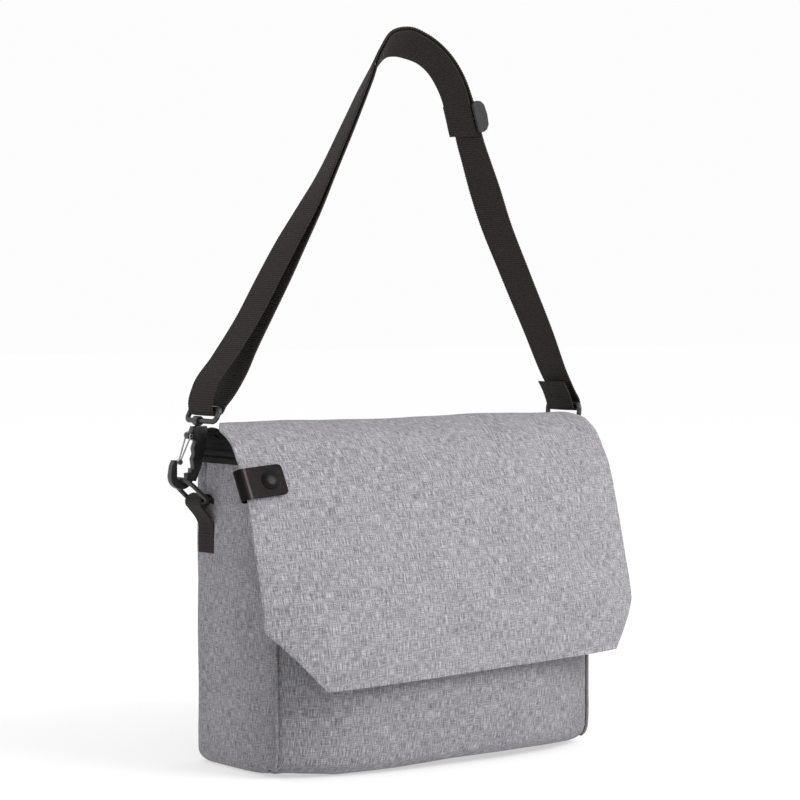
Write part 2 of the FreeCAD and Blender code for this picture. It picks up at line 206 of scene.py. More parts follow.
def heather(name, tone=1.0, seam=None, reach=0.05, depth=0.2):
    """Two-tone yarns woven both ways: short light and dark streaks along the warp and the weft.
    seam is a distance across the cloth, in metres, beside which painted shade darkens it; reach is the width
    of that shade and depth its strength. A tone below 1 paints shade over the whole cloth."""
    look = new_look(name)
    uv = cloth_coordinates(look)
    warp = cloud(look, uv, (1650, 115, 1), 4.0, 0.66)
    weft = cloud(look, uv, (115, 1650, 1), 4.0, 0.66)
    speckle = cloud(look, uv, (2000, 2000, 1), 2.0)
    broad = cloud(look, uv, (30, 30, 1), 2.0)
    both = maths(look, "ADD", maths(look, "MULTIPLY", warp, 0.50), maths(look, "MULTIPLY", weft, 0.34))
    fine = maths(look, "ADD", maths(look, "MULTIPLY", speckle, 0.16), maths(look, "MULTIPLY", broad, 0.04))
    mixed = maths(look, "ADD", both, fine)
    stops = [(0.42, 0.088), (0.48, 0.158), (0.52, 0.233), (0.565, 0.33), (0.62, 0.46)]
    # a tone below 1 dims the whole cloth: painted shade
    tint = (tone, tone * 0.972, tone * 1.035)
    colour = ramp(look, mixed, [(place, tuple(g * t for t in tint)) for place, g in stops])
    # painted shade: the cloth darkens towards the seam
    if seam is not None:
        across = maths(look, "ABSOLUTE", axes(look, uv)[0])
        away = maths(look, "ABSOLUTE", maths(look, "SUBTRACT", across, seam))
        near = ramp(look, maths(look, "MULTIPLY", away, 1 / reach),
                    [(0.0, 1 - depth), (0.4, 1 - depth * 0.6), (1.0, 1.0)])
        colour = scaled(look, colour, near)
    shade(look, {"Base Color": colour, "Roughness": 0.88, "Sheen Weight": 0.05, "Specular IOR Level": 0.2})
    threads = maths(look, "MULTIPLY", *waves(look, uv, 0.0012, 0.0012))
    height = maths(look, "ADD", maths(look, "MULTIPLY", threads, 0.35), maths(look, "MULTIPLY", mixed, 3.0))
    bump(look, height, 0.00016)
    return look["material"]


def ribbed(name, grey, tint, pitch):
    """Narrow webbing with ribs across it and fine columns of warp along it, with painted shade in its grooves
    and a painted highlight on its ribs.
    """
    look = new_look(name)
    uv = cloth_coordinates(look)
    columns, ribs = waves(look, uv, 0.0019, pitch)
    height = maths(look, "ADD", ribs, maths(look, "MULTIPLY", columns, 0.35))
    wear_and_painted_light = cloud(look, uv, (900, 300, 1), 2.0)
    # colour follows rib height: painted shade in the grooves and painted highlight on the crests, over random
    # wear
    tone = maths(look, "ADD", maths(look, "MULTIPLY", height, 0.16), wear_and_painted_light)
    stops = [(0.25, grey * 0.65), (0.55, grey), (0.85, grey * 1.5)]
    colour = ramp(look, tone, [(p, tuple(g * t for t in tint)) for p, g in stops])
    shade(look, {"Base Color": colour, "Roughness": 0.72, "Specular IOR Level": 0.12})
    bump(look, maths(look, "ADD", height, wear_and_painted_light), 0.00022)
    return look["material"]


def woven(name, grey, pitch=0.0009):
    """Plain tight cloth for linings, zip tapes, thread and the top, on object coordinates."""
    look = new_look(name)
    where = object_coordinates(look)
    across, along = waves(look, where, pitch, pitch)
    upward = cloud(look, where, (600, 600, 1500), 2.0)
    colour = ramp(look, upward, [(0.35, grey * 0.6), (0.5, grey), (0.68, grey * 1.6)])
    shade(look, {"Base Color": colour, "Roughness": 0.8, "Specular IOR Level": 0.15})
    bump(look, maths(look, "ADD", maths(look, "MULTIPLY", across, along), upward), 0.00012)
    return look["material"]


def leather(name):
    """Smooth dark leather with a fine pebble grain, with a painted highlight along its fold and painted shade
    behind it.
    """
    look = new_look(name)
    where = object_coordinates(look)
    pores = add(look, "TexVoronoi", {"Vector": where, "Scale": 1300})
    creases = cloud(look, where, (420, 420, 420), 4.0)
    patches = cloud(look, where, (60, 60, 60), 2.0)
    colour = ramp(look, patches, [(0.3, (0.008, 0.006, 0.0062)), (0.7, (0.014, 0.011, 0.0112))])
    along = axes(look, cloth_coordinates(look))[1]  # metres past the front of the fold
    place = maths(look, "MULTIPLY", maths(look, "ADD", along, 0.010), 50.0)
    # painted highlight along the fold's front edge and painted shade on the leaf behind it
    wear_and_painted_light = ramp(look, place, [(0.26, 0.5), (0.37, 1.3), (0.42, 9.0), (0.46, 7.0), (0.52, 1.4), (1.0, 1.0)])
    gloss = ramp(look, creases, [(0.35, 0.38), (0.65, 0.56)])
    shade(look, {"Base Color": scaled(look, colour, wear_and_painted_light), "Roughness": gloss, "Specular IOR Level": 0.05})
    bump(look, maths(look, "ADD", pores, maths(look, "MULTIPLY", creases, 0.8)), 0.00012, 0.7)
    return look["material"]


def metal(name, grey, low, high, shine=1.0):
    """Plated metal whose polish wears unevenly."""
    look = new_look(name)
    wear = cloud(look, object_coordinates(look), (240, 240, 240), 4.0)
    tint = (1, 0.98, 0.99)
    colour = ramp(look, wear, [(0.3, tuple(grey * 0.8 * t for t in tint)),
                               (0.7, tuple(grey * 1.3 * t for t in tint))])
    roughness = ramp(look, wear, [(0.3, low), (0.7, high)])
    shade(look, {"Metallic": shine, "Base Color": colour, "Roughness": roughness})
    bump(look, wear, 0.00006, 0.5)
    return look["material"]


def plastic(name, grey):
    """Moulded plastic for the zip's coil and boards."""
    look = new_look(name)
    mould = cloud(look, object_coordinates(look), (700, 700, 700), 3.0)
    colour = ramp(look, mould, [(0.35, grey * 0.8), (0.65, grey * 1.2)])
    shade(look, {"Base Color": colour, "Roughness": 0.45})
    bump(look, mould, 0.00005)
    return look["material"]


# ---- mesh helpers ----
def running(steps):
    """How far along a path each point is, from the lengths of the steps between them."""
    return np.concatenate([[0], np.cumsum(steps)])


def lengths(points):
    return np.linalg.norm(np.diff(points, axis=0), axis=1)


def at_places(places, run, points):
    """A path's columns at other places along it."""
    return np.stack([np.interp(places, run, column) for column in points.T], axis=-1)


def smooth_path(points, step):
    """Evenly spaced points on a smooth curve through the given ones. Columns after the third ride along."""
    points = np.array(points, float)
    chord = lengths(points[:, :3])
    place = running(chord)
    slope = np.gradient(points, place, axis=0)
    dense = np.linspace(0, place[-1], max(int(place[-1] / 0.5), 40))
    k = np.clip(np.searchsorted(place, dense, side="right") - 1, 0, len(chord) - 1)
    width = chord[k][:, None]
    t = ((dense - place[k]) / chord[k])[:, None]
    curve = (
        (2 * t**3 - 3 * t**2 + 1) * points[k] + (t**3 - 2 * t**2 + t) * width * slope[k]
        + (3 * t**2 - 2 * t**3) * points[k + 1] + (t**3 - t**2) * width * slope[k + 1]
    )
    run = running(lengths(curve[:, :3]))
    even = np.linspace(0, run[-1], max(int(round(run[-1] / step)), 2) + 1)
    return at_places(even, run, curve), even


def ticks(length, step, soft):
    """Places along a side: even steps, with close ones at both ends where the edge is rounded."""
    near = np.array([0, 0.07, 0.28, 0.6, 1.0]) * soft
    middle = np.linspace(soft, length - soft, max(int((length - 2 * soft) / step), 1) + 1)[1:-1]
    return np.concatenate([near, middle, length - near[::-1]])


def rounded(distance, radius):
    """Half the thickness of a sheet at a distance from its rounded edge."""
    inside = np.clip(distance / radius, 0, 1)
    return radius * np.sqrt(1 - (1 - inside) ** 2)


def grid_of(*columns):
    """Points, or flat places, from coordinates that broadcast together."""
    return np.stack(np.broadcast_arrays(*columns), axis=-1)


def normals_of(grid):
    """Unit normals of a grid of points, on the side where rows going down and columns going right face."""
    down = np.gradient(grid, axis=0)
    right = np.gradient(grid, axis=1)
    facing = np.cross(down, right)
    return facing / np.maximum(np.linalg.norm(facing, axis=2, keepdims=True), 1e-9)


def mesh_object(name, vertices, faces, material, uvs=None):
    """An object from millimetre vertices. uvs gives one (u, v) in metres for each vertex."""
    data = bpy.data.meshes.new(name)
    data.from_pydata((np.asarray(vertices) * MM).tolist(), [], faces)
    if uvs is not None:
        layer = data.uv_layers.new(name=CLOTH_UV)
        corners = np.empty(len(data.loops), np.int32)
        data.loops.foreach_get("vertex_index", corners)
        layer.data.foreach_set("uv", np.asarray(uvs, np.float32)[corners].ravel())
    data.polygons.foreach_set("use_smooth", [True] * len(data.polygons))
    data.materials.append(material)
    data.update()
    made = bpy.data.objects.new(name, data)
    bpy.context.collection.objects.link(made)
    return made


def quads(index, flip=False):
    """Faces of a grid of vertex numbers."""
    a, b, c, d = index[:-1, :-1], index[:-1, 1:], index[1:, 1:], index[1:, :-1]
    order = (a, b, c, d) if flip else (a, d, c, b)
    return np.stack(order, axis=-1).reshape(-1, 4).tolist()


def wrapped(first, rings, around):
    """Vertex numbers of rings of points, with each ring's first one again at its end."""
    index = first + np.arange(rings * around).reshape(rings, around)
    return np.concatenate([index, index[:, :1]], axis=1)


def capped(index):
    """Faces of a closed bar: its sides and its two ends."""
    return quads(index) + [index[0, :-1].tolist(), index[-1, :-1][::-1].tolist()]


def edge_distance(half, share, run):
    """How far each point of a sheet is from its nearest edge. half may be one width or one for each row."""
    end = np.minimum(run, run[-1] - run)[:, None]
    return np.minimum(np.reshape(half, (-1, 1)) * (1 - np.abs(share)), end)


def closed_sheet(name, grid, depth, flat, material):
    """A sheet from its middle surface, half its thickness, which is 0 all along its edges, and its
    places (across, along) in the flat cloth."""
    rows, columns = depth.shape
    facing = normals_of(grid)
    inside = np.zeros((rows, columns), bool)
    inside[1:-1, 1:-1] = True
    front = np.arange(rows * columns).reshape(rows, columns)
    back = front.copy()
    back[inside] = rows * columns + np.arange(inside.sum())
    moved = facing * depth[..., None]
    vertices = np.concatenate([(grid + moved).reshape(-1, 3), (grid - moved)[inside]])
    uv = grid_of(*flat)
    uvs = np.concatenate([uv.reshape(-1, 2), uv[inside]]) * MM
    return mesh_object(name, vertices, quads(front) + quads(back, True), material, uvs)


def frame_along(path):
    """Two unit vectors across a path at each point, turned as little as possible along it."""
    along = np.gradient(path, axis=0)
    along /= np.linalg.norm(along, axis=1, keepdims=True)
    first = np.cross(along[0], (0, 0, 1) if abs(along[0][2]) < 0.9 else (0, 1, 0))
    sides = [first / np.linalg.norm(first)]
    for tangent in along[1:]:
        side = sides[-1] - tangent * np.dot(sides[-1], tangent)
        sides.append(side / np.linalg.norm(side))
    side = np.array(sides)
    return side, np.cross(along, side)


def tube(name, path, radius, material, around=12):
    """A round bar along points, with rounded ends."""
    path = np.asarray(path, float)
    run = running(lengths(path))
    radii = np.maximum(rounded(np.minimum(run, run[-1] - run), radius), 0.04)
    side, up = frame_along(path)
    angle = np.linspace(0, 2 * math.pi, around, endpoint=False)
    ring = side[:, None] * np.cos(angle)[None, :, None] + up[:, None] * np.sin(angle)[None, :, None]
    vertices = path[:, None] + ring * radii[:, None, None]
    uvs = grid_of(angle[None] * radius, run[:, None]) * MM
    faces = capped(wrapped(0, len(path), around))
    return mesh_object(name, vertices.reshape(-1, 3), faces, material, uvs.reshape(-1, 2))


def lathe(name, profile, place, material, around=72):
    """A turned shape. profile is (radius, height) from one pole to the other, on place's own Z axis."""
    profile, _ = smooth_path([(r, h, 0) for r, h in profile], 0.25)
    angle = np.linspace(0, 2 * math.pi, around, endpoint=False)
    radius = np.maximum(profile[:, 0], 0.02)[:, None]
    ring = grid_of(radius * np.cos(angle), radius * np.sin(angle), profile[:, 1:2])
    made = mesh_object(name, ring.reshape(-1, 3), capped(wrapped(0, len(profile), around)), material)
    made.data.transform(place)
    return made


# A stitch's rings: place along it, width and height, each as a share of its half length and radius.
STITCH = np.array([[-1, 0.35, 0.35], [-0.6, 0.9, 0.9], [0, 1, 1], [0.6, 0.9, 0.9], [1, 0.35, 0.35]])


def stitching(name, lines, material, pitch=3.4, length=2.3, radius=0.36):
    """Raised stitches along lines. Each line is (points, normals)."""
    vertices, faces = [], []
    around = 8
    for points, normals in lines:
        run = running(lengths(points))
        for place in np.arange(pitch / 2, run[-1], pitch):
            at = at_places(place, run, points)
            up = at_places(place, run, normals)
            along = at_places(place + 0.4, run, points) - at
            along /= max(np.linalg.norm(along), 1e-9)
            side = np.cross(along, up)
            first = len(vertices)
            for offset, wide, high in STITCH:
                for k in range(around):
                    turn = 2 * math.pi * k / around
                    vertices.append(at + along * offset * length / 2
                                    + side * math.cos(turn) * radius * wide
                                    + up * math.sin(turn) * radius * high * 0.8)
            faces += capped(wrapped(first, len(STITCH), around))
    return mesh_object(name, np.array(vertices), faces, material)


def ripple(grid, scale, height, seed):
    """How far soft cloth wanders at each point of a grid."""
    flat = grid.reshape(-1, 3) / scale
    values = [noise.noise(Vector((x + seed, y, z - seed))) for x, y, z in flat]
    return np.array(values).reshape(grid.shape[:2]) * height


def softened(name, node, voxel, turns, material, swell):
    """A cast or moulded copy of a CAD node, with its edges rounded off and its wire made up again."""
    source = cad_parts[node]
    data = source.data.copy()
    data.transform(source.matrix_world)
    made = bpy.data.objects.new(name, data)
    bpy.context.collection.objects.link(made)
    remesh = made.modifiers.new("remesh", "REMESH")
    remesh.mode = "VOXEL"
    remesh.voxel_size = voxel * MM
    relax = made.modifiers.new("relax", "SMOOTH")
    relax.factor = 0.5
    relax.iterations = turns
    fill = made.modifiers.new("fill", "DISPLACE")
    fill.strength = swell * MM
    fill.mid_level = 0
    final = bpy.data.meshes.new_from_object(made.evaluated_get(bpy.context.evaluated_depsgraph_get()))
    made.modifiers.clear()
    made.data = final
    final.materials.clear()
    final.materials.append(material)
    final.polygons.foreach_set("use_smooth", [True] * len(final.polygons))
    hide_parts(node)
    return made


def finish_piece(piece, slot, *nodes, body=None):
    """Hides the CAD nodes a piece stands for and hangs it on the body it rides on. slot is not used."""
    if nodes:
        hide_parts(*nodes)
    if body:
        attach(piece, body)
    return piece


# ---- the flap ----
# From the hinge seam, over the top and down the front: half the full width, the outer face's place
# (y, z) at the full width, how far the middle bows out, the face's slope in degrees (0 faces the
# front, 90 faces up), and how sharply the wings turn back.
FLAP_STATIONS = np.array([
    (142, 62, 266, 0.3, 180, 2),
    (145, 59.5, 276, 0.3, 150, 2),
    (150, 52, 283, 0.3, 125, 2),
    (158, 40, 288.5, 0.6, 113, 2),
    (169, 25, 293.7, 1, 104, 2),
    (181, 8, 297.3, 1, 96, 2),
    (189, -4, 298.5, 1, 88, 2),
    (194, -12, 297.3, 1.2, 76, 2),
    (199, -20, 294.6, 1.5, 62, 2),
    (199, -29, 290, 3, 52, 2),
    (199, -38.6, 283, 5.5, 42, 2),
    (199, -44.5, 275, 7, 34, 2),
    (199, -49, 267.6, 8.5, 30, 2),
    (199, -55.5, 257, 10.5, 26, 2.1),
    (199, -60.5, 245, 12.5, 22, 2.2),
    (199, -67, 222, 17, 19, 2.4),
    (199, -75, 193, 20.5, 17, 2.8),
    (199, -81, 170, 22.5, 14, 3.4),
    (199, -86.5, 148, 24.5, 10, 4.2),
    (199, -89, 130, 26, 7, 5),
    (199, -92, 108, 25, 3, 5),
    (199, -94.5, 84, 24, 0, 5),
])
WING_Z = 130.0  # the wing tips, where the slanted cuts begin
BOTTOM_HALF = 156.5  # half the width of the straight bottom edge
BOTTOM_SHIFT = 6.0  # how far that edge lies to the right of the middle
BOTTOM_TILT = 6.4  # how much higher that edge's right corner is than its middle
FLAP_HALF = 199.0
FLAP_STEP = 4.0


def flap_grid():
    """The flap's outer face as rows from the hinge down and columns left to right, with the gentle waves
    of cloth that has been folded over and handled."""
    line = np.column_stack([FLAP_STATIONS[:, 0] * 0, FLAP_STATIONS[:, 1:3], FLAP_STATIONS])
    path, run = smooth_path(line, 0.5)
    tip = np.interp(-WING_Z, -path[-120:, 2], run[-120:])
    rows = ticks(run[-1], FLAP_STEP, ROUND)
    rows[np.argmin(abs(rows - tip))] = tip
    full, bow, slope, power = [np.interp(rows, run, path[:, k]) for k in (3, 6, 7, 8)]
    edge_y, edge_z = [np.interp(rows, run, path[:, k]) for k in (1, 2)]
    cut = np.clip((rows - tip) / (run[-1] - tip), 0, 1)
    half = np.where(rows > tip, full + (BOTTOM_HALF - full) * (rows - tip) / (run[-1] - tip), full)
    share = ticks(2 * FLAP_HALF, FLAP_STEP, ROUND) / FLAP_HALF - 1
    x = half[:, None] * share[None]
    out = bow[:, None] * (1 - np.abs(x / full[:, None]) ** power[:, None])
    angle = np.radians(slope)[:, None]
    y = edge_y[:, None] - out * np.cos(angle)
    z = edge_z[:, None] + out * np.sin(angle)
    low = np.clip((200 - z) / 110, 0, 1)
    z = z + BOTTOM_TILT * x / BOTTOM_HALF * low**3
    x = x + BOTTOM_SHIFT * cut[:, None]
    along = rows[:, None]
    grid = grid_of(x, y, z)
    facing = normals_of(grid)
    loose = np.clip((along - 45) / 60, 0, 1)
    wave = ripple(grid, 62.0, 1.5, 4.0) + ripple(grid, 24.0, 0.45, 9.0)
    crest = -2.0 * np.exp(-((x + 25) / 75) ** 2) * np.exp(-((along - 75) / 30) ** 2)
    edge = np.clip((half[:, None] - abs(x)) / 14, 0, 1)
    grid = grid + facing * (wave * loose * (0.45 + 0.55 * edge) + crest)[..., None]
    return grid, x, half, share, rows


def ride_flap(piece):
    """Bakes a flap piece's placement into its mesh."""
    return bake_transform(piece)


def make_flap(cloth, lining, thread):
    """Outer cloth with a turned and stitched edge, and the lining behind it."""
    grid, x, half, share, rows = flap_grid()
    facing = normals_of(grid)
    away = edge_distance(half, share, rows)
    seam = 4.2  # from the edge to the stitches
    hem = 0.45 * np.exp(-((away - seam) / 1.1) ** 2)
    depth = rounded(away, 1.25) - hem * 0.8
    depth[away <= 0] = 0
    flat = (x, rows[:, None])
    outer = closed_sheet("flap_cloth", grid - facing * 1.15, np.maximum(depth, 0), flat, cloth)
    finish_piece(outer, "grey_cloth", "flap_outer")
    ride_flap(outer)

    behind = grid - facing * 3.05
    behind[..., 0] *= 0.991
    back = closed_sheet("flap_lining_cloth", behind, rounded(away, 0.72), flat, lining)
    finish_piece(back, "black_cloth", "flap_lining")
    ride_flap(back)

    lines = []
    inset = 1 - seam / half
    first = 14  # row where the stitches come out of the hinge seam
    for sense in (LEFT, RIGHT):
        points, normals = [
            np.array([at_places(sense * inset[r], share, values[r]) for r in range(first, len(rows))])
            for values in (grid, facing)
        ]
        keep = rows[first:] < rows[-1] - seam
        lines.append((points[keep] - normals[keep] * 0.1, normals[keep]))
    r = np.argmin(abs(rows - (rows[-1] - seam)))
    keep = np.abs(x[r]) < half[r] - seam
    lines.append((grid[r][keep] - facing[r][keep] * 0.1, facing[r][keep]))
    ride_flap(finish_piece(stitching("flap_stitching", lines, thread), "grey_cloth"))


# ---- the body ----
# Height, the front seam's y at the sides, and the pocket's y in the middle.
POCKET_LEVELS = np.array([
    (0, -60, -92), (14, -63, -97), (55, -64, -102), (100, -63.5, -103.5), (160, -62, -97),
    (200, -56.5, -80), (235, -50, -62),
])
FRONT_LEVELS = np.array([(0, -54, -64), (80, -57, -70), (150, -60, -72), (210, -50, -58), (262, -38, -44)])


def base_sag(grid):
    """The front edge of the base sags unevenly, and stands a few millimetres off the floor in places."""
    lift = np.interp(grid[..., 0], BASE_LIFT[:, 0], BASE_LIFT[:, 1])
    near = np.exp(-np.clip((grid[..., 1] + 72) / 32, 0, 9) ** 2)
    grid = grid.copy()
    grid[..., 2] += lift * near * np.clip(1 - grid[..., 2] / 55, 0, 1) ** 2
    return grid


def base_turn(height):
    """How far the shell has turned in under itself at a height above the floor."""
    gap = np.clip(BASE_ROUND - height, 0, BASE_ROUND)
    return BASE_ROUND - np.sqrt(np.maximum(BASE_ROUND**2 - gap**2, 0))


def standing_rows(low, high, step):
    """Heights from the top down, closer together where the shell turns under."""
    upper = high - ticks(high - BASE_ROUND, step, ROUND)[:-4]
    turn = np.radians(np.linspace(4, 88, 10))
    lower = BASE_ROUND * (1 - np.sin(turn))
    lower = lower[lower > low]
    return np.concatenate([upper, lower, [low]])


def front_sheet(name, levels, top, material, half=BODY_HALF - 0.8, seed=2.0, sag=1.2):
    """A front panel that bows forward between its side seams and turns under at the base."""
    rows = standing_rows(0.5, top, 5)
    share = ticks(2 * half, 5, ROUND) / half - 1
    side = smooth_levels(levels, 1, rows)
    middle = smooth_levels(levels, 2, rows)
    turn = base_turn(rows)
    x = share[None] * (half - 0.8 * turn[:, None]) - RIGHT_PULL * np.clip(share[None], 0, 1) ** 6
    shape = 1 - np.abs(share[None]) ** 3.0
    valley = 2.6 * np.exp(-(1 - np.abs(share[None])) * half / 3.5)
    y = side[:, None] + (middle - side)[:, None] * shape + turn[:, None] * (1 + 0.9 * shape) + valley
    z = rows[:, None]
    grid = grid_of(x, y, z)
    facing = normals_of(grid)
    soft = np.clip((half - np.abs(x)) / 25, 0, 1) * np.clip((z - 4) / 25, 0, 1)
    wave = ripple(grid, 55.0, 2.2 * sag, seed) + ripple(grid, 20.0, 0.6 * sag, seed + 5)
    grid = base_sag(grid + facing * (wave * soft)[..., None])
    run = running(np.hypot(np.diff(rows), np.diff(turn)))
    away = edge_distance(half, share, run)
    made = closed_sheet(name, grid, rounded(away, CLOTH / 2), (x, run[:, None]), material)
    return made, grid, normals_of(grid)


def smooth_levels(levels, column, heights):
    """One column of a table at other heights, without corners."""
    path, _ = smooth_path(np.column_stack([levels[:, 0], levels[:, column], levels[:, 0] * 0]), 1.0)
    return np.interp(heights, path[:, 0], path[:, 1])


def side_sheet(side, material):
    """A gusset that runs from the front seam round the back corner, with its pinch at the top."""
    rows = standing_rows(0.5, GUSSET_TOP, 5)
    front = smooth_levels(POCKET_LEVELS, 1, np.minimum(rows, POCKET_TOP))
    above = np.interp(rows, [POCKET_TOP, GUSSET_TOP], [-50, -41])
    front = np.where(rows > POCKET_TOP, above, front) + 0.8
    flat_end = BODY_BACK - BACK_CORNER
    corner = np.radians(np.linspace(12, 90, 7))
    wide = ticks(flat_end + BODY_BACK, 4.5, ROUND)[:-4] / (flat_end + BODY_BACK)
    turn = base_turn(rows)
    arc_y = flat_end + BACK_CORNER * np.sin(corner)
    arc_x = BODY_HALF - BACK_CORNER * (1 - np.cos(corner))
    grid, flat = [], []
    for z, y0, inward in zip(rows, front, turn):
        ys = np.concatenate([y0 + (flat_end - y0) * wide, arc_y])
        ys = 2 + (ys - 2) * (1 - 0.8 * inward / 60)
        xs = np.concatenate([np.full(len(wide), BODY_HALF), arc_x]) - inward
        across = np.sin(np.clip((ys - y0) / (58 - y0), 0, 1) * math.pi)
        swell = 3.4 * across * math.sin(math.pi * min(z / GUSSET_TOP, 1)) ** 0.7
        pinch = np.clip((z - 205) / 50, 0, 1) ** 1.5 * (
            7.5 * np.exp(-((ys - 47) / 3.4) ** 2) - 2.6 * np.exp(-((ys - 34) / 8) ** 2)
        )
        slump = 1.6 * np.exp(-((z - 30) / 22) ** 2) * np.exp(-((ys - 5) / 40) ** 2)
        valley = 2.4 * np.exp(-(ys - ys[0]) / 3.5)
        pull = RIGHT_PULL * np.exp(-(ys - ys[0]) / 22) if side == RIGHT else 0
        xs = xs + swell + slump - pinch - valley - pull
        grid.append(grid_of(xs, ys, z))
        flat.append(running(np.hypot(np.diff(xs), np.diff(ys))))
    grid, flat = np.array(grid), np.array(flat)
    grid[..., 0] *= side
    down = running(np.hypot(np.diff(rows), np.diff(turn)))
    facing = normals_of(grid) * side
    along = down[:, None]
    inward = np.minimum(flat, flat[:, -1:] - flat)
    soft = np.clip(inward / 22, 0, 1) * np.clip((along - 2) / 20, 0, 1)
    wave = ripple(grid, 48.0, 2.0, 11.0 + side) + ripple(grid, 17.0, 0.6, 15.0)
    grid = base_sag(grid + facing * (wave * soft * np.clip(rows / 30, 0, 1)[:, None])[..., None])
    away = np.minimum(inward, np.minimum(down, down[-1] - down)[:, None])
    places = (flat + SEAM_UV, along)
    made = closed_sheet(f"side_cloth_{SIDES[side]}", grid, rounded(away, CLOTH / 2), places, material)
    return finish_piece(made, "grey_cloth", f"gusset_{SIDES[side]}", body="bag")


def back_sheet(material):
    """The flat back between its two corner seams."""
    half = BODY_HALF - BACK_CORNER
    rows = standing_rows(0.5, GUSSET_TOP, 6)
    share = ticks(2 * half, 6, ROUND) / half - 1
    turn = base_turn(rows)
    x = -share[None] * (half - 0.5 * turn[:, None])
    z = rows[:, None]
    swell = 1.2 * np.cos(share[None] * math.pi / 2) * np.sin(np.clip(z / GUSSET_TOP, 0, 1) * math.pi)
    y = BODY_BACK - 0.2 - turn[:, None] * 0.8 + swell - 1.2
    grid = grid_of(x, y, z)
    soft = np.clip((half - np.abs(x)) / 25, 0, 1)
    grid[..., 1] += ripple(grid, 70.0, 1.6, 21.0) * soft
    run = running(np.hypot(np.diff(rows), np.diff(turn)))
    away = edge_distance(half, share, run)
    made = closed_sheet("back_cloth", grid, rounded(away, CLOTH / 2), (x, run[:, None]), material)
    return finish_piece(made, "grey_cloth", "back_panel", body="bag")


def base_sheet(material):
    """The bottom, bowed forward at its front edge, just clear of the floor."""
    half = BODY_HALF - 11.5
    share = ticks(2 * half, 6, ROUND) / half - 1
    depth_share = ticks(120, 6, ROUND) / 120
    front = -49 - 23 * (1 - np.abs(share) ** 3.0)
    back = 54.0
    y = front[None] + (back - front)[None] * depth_share[:, None]
    x = share[None] * half
    grid = base_sag(grid_of(x, y, 1.5))
    away = np.minimum((half * (1 - np.abs(share)))[None],
                      (np.minimum(depth_share, 1 - depth_share) * 110)[:, None])
    made = closed_sheet("base_cloth", grid, rounded(away, 1.1), (x, y), material)
    return finish_piece(made, "grey_cloth", "base_panel", body="bag")


def make_body(looks):
    """The shell: pocket, front, sides, back and base meet along shared seams."""
    cloth, thread = looks["cloth"], looks["thread"]
    pocket, grid, facing = front_sheet("pocket_cloth", POCKET_LEVELS, POCKET_TOP, looks["pocket_cloth"])
    finish_piece(pocket, "grey_cloth", "pocket_panel", body="bag")
    keep = slice(6, -8)
    lines = [(grid[keep, column] + facing[keep, column] * 1.15, facing[keep, column]) for column in (7, -8)]
    finish_piece(stitching("pocket_stitching", lines, thread), "grey_cloth", body="bag")

    inner, _, _ = front_sheet("front_cloth", FRONT_LEVELS, GUSSET_TOP, cloth, BODY_HALF - 3.2, 31.0, 0.3)
    finish_piece(inner, "grey_cloth", "front_panel", body="bag")
    back = back_sheet(cloth)
    base = base_sheet(cloth)
    for side, name in SIDES.items():
        gusset = side_sheet(side, looks["side_cloth"])
        heights = np.concatenate([[3.2, 7, 12], np.arange(20, 231, 10)])
        seam = smooth_levels(POCKET_LEVELS, 1, heights)
        turn = base_turn(heights)
        out = BODY_HALF + 0.3 - 0.8 * turn - (RIGHT_PULL if side == RIGHT else 0)
        points = grid_of(side * out, seam - 0.7 + turn, heights)
        path, _ = smooth_path(base_sag(points), 2.0)
        welt = tube(f"front_piping_{name}", path, 1.6, looks["piping"])
        finish_piece(welt, "grey_cloth", f"front_welt_{name}", body="bag")


# ---- top closure ----
# The black end's outline (y, z) from the front over the top to the back.
TOP_LINE = [(-36, 262.5), (-33, 275), (-24, 285), (-8, 290.5), (12, 290.8), (24, 289.6), (31, 291.6),
            (42, 292), (52, 289), (58, 281), (60, 262.5)]
TOP_FOOT = 262.3  # its lower edge
ROOF_HALF = 168.0
ZIP_HALF = 160.0
ZIP_Y = 8.0
ZIP_TOP = 276.2


def make_top(black, webbing):
    """Black ends with raised cords, and ribbed binding on the gussets."""
    for side, name in SIDES.items():
        outline, _ = smooth_path([(0, y, z) for y, z in TOP_LINE], 2.0)
        share = ticks(1.0, 0.04, 0.03)
        spread = outline[:, 2:3] - TOP_FOOT
        y, z = outline[:, 1:2], TOP_FOOT + spread * share
        swell = 1.6 * np.sin(np.clip((z - TOP_FOOT) / 29, 0, 1) * math.pi)
        ribs = 0.5 * np.sin(z * 2 * math.pi / 5.2)
        grid = grid_of(side * (BODY_HALF - 1.6 + (swell + ribs)), y, z)
        run = np.arange(len(outline))[:, None] * 2.0
        away = np.minimum(np.minimum(run, run.max() - run), np.minimum(share, 1 - share)[None] * spread)
        cap = closed_sheet(f"top_cap_{name}", grid, rounded(away, 1.0), (z, y), black)
        finish_piece(cap, "black_cloth", f"top_end_{name}", body="bag")
        for k, (drop, reach) in enumerate(((1.6, 1.0), (7.5, 0.9))):
            line = grid_of(side * (BODY_HALF + 0.4), 12 + (outline[:, 1] - 12) * reach,
                           np.maximum(outline[:, 2] - drop, 264))
            keep = outline[:, 2] > 273 + drop * 0.6
            cord = tube(f"top_cord_{name}_{k + 1}", line[keep], 1.25, black)
            finish_piece(cord, "black_cloth", body="bag")

        bands = []
        radius = 2.5
        for centre in (264.6, 270.6):
            ys = np.linspace(-33, 60, 48)
            share = ticks(2 * radius, 0.8, 0.7) / radius - 1
            bulge = 1.5 * (1 - share**2)
            lift = 0.25 * ripple(grid_of(ys, 0, centre)[None], 9.0, 1.0, 3.0)[0]
            z = centre + share[None] * radius * 0.96 + lift[:, None]
            y = ys[:, None]
            grid = grid_of(side * (BODY_HALF + 0.4 + bulge[None]), y, z)
            away = edge_distance(radius, share, ys - ys[0])
            bands.append(closed_sheet("band", grid, rounded(away, 0.7), (z, y), webbing))
        binding = joined(f"side_binding_{name}", bands)
        finish_piece(binding, "black_cloth", f"top_binding_{name}", body="bag")


